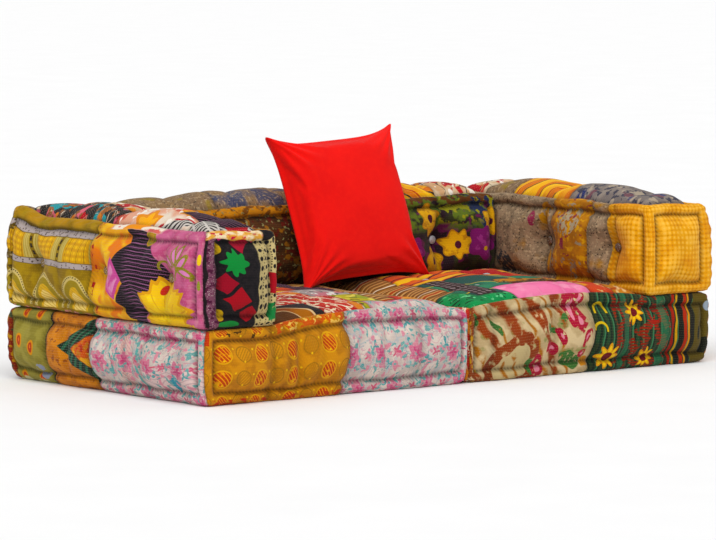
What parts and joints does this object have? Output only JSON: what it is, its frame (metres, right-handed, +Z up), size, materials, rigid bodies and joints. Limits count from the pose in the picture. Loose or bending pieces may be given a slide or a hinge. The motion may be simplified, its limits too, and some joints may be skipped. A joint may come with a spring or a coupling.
{
  "type": "modular pouf sofa",
  "caption": "Low floor sofa laid up from tufted patchwork mattress cushions: square seats, arm and back bolsters with rolled stitched edges, and a loose red scatter pillow.",
  "frame": {"origin": "on the floor, under the middle of the sofa's outer box", "axes": "+X along the sofa to its right end seen from the front, +Y from front to back, +Z up"},
  "size_m": [1.924, 0.974, 0.7204],
  "materials": {
    "left_seat_patchwork": "matte",
    "right_seat_patchwork": "matte",
    "left_arm_patchwork": "matte",
    "right_arm_patchwork": "matte",
    "back_patchwork": "matte",
    "base_cloth": "matte",
    "cotton_stuffing": "matte",
    "tie_cord": "matte",
    "tuft_button": "satin",
    "red_cloth": "matte",
    "pillow_fibre": "matte"
  },
  "bodies": {
    "left_seat": {"left_seat_top_panel": "left_seat_patchwork", "left_seat_side_border": "left_seat_patchwork", "left_seat_base_panel": "base_cloth", "left_seat_filling": "cotton_stuffing", "left_seat_tuft_ties": "tie_cord", "left_seat_buttons": "tuft_button"},
    "right_seat": {"right_seat_top_panel": "right_seat_patchwork", "right_seat_side_border": "right_seat_patchwork", "right_seat_base_panel": "base_cloth", "right_seat_filling": "cotton_stuffing", "right_seat_tuft_ties": "tie_cord", "right_seat_buttons": "tuft_button"},
    "left_arm": {"left_arm_top_panel": "left_arm_patchwork", "left_arm_side_border": "left_arm_patchwork", "left_arm_base_panel": "base_cloth", "left_arm_filling": "cotton_stuffing", "left_arm_tuft_ties": "tie_cord", "left_arm_buttons": "tuft_button"},
    "right_arm": {"right_arm_top_panel": "right_arm_patchwork", "right_arm_side_border": "right_arm_patchwork", "right_arm_base_panel": "base_cloth", "right_arm_filling": "cotton_stuffing", "right_arm_tuft_ties": "tie_cord", "right_arm_buttons": "tuft_button"},
    "back": {"back_top_panel": "back_patchwork", "back_side_border": "back_patchwork", "back_base_panel": "base_cloth", "back_filling": "cotton_stuffing", "back_tuft_ties": "tie_cord", "back_buttons": "tuft_button"},
    "scatter_pillow": {"scatter_pillow_front_panel": "red_cloth", "scatter_pillow_back_panel": "red_cloth", "scatter_pillow_insert": "pillow_fibre"}
  },
  "joints": [
    {"name": "right_seat_slide", "type": "slide", "parent": "left_seat", "child": "right_seat", "axis": [1, 0, 0], "range_m": [0, 0.3]},
    {"name": "left_arm_lift", "type": "slide", "parent": "left_seat", "child": "left_arm", "axis": [0, 0, 1], "range_m": [0, 0.3]},
    {"name": "right_arm_lift", "type": "slide", "parent": "right_seat", "child": "right_arm", "axis": [0, 0, 1], "range_m": [0, 0.3]},
    {"name": "back_lift", "type": "slide", "parent": "left_seat", "child": "back", "axis": [0, 0, 1], "range_m": [0, 0.3]},
    {"name": "scatter_pillow_lift", "type": "slide", "parent": "back", "child": "scatter_pillow", "axis": [0, 0, 1], "range_m": [0, 0.3]}
  ]
}
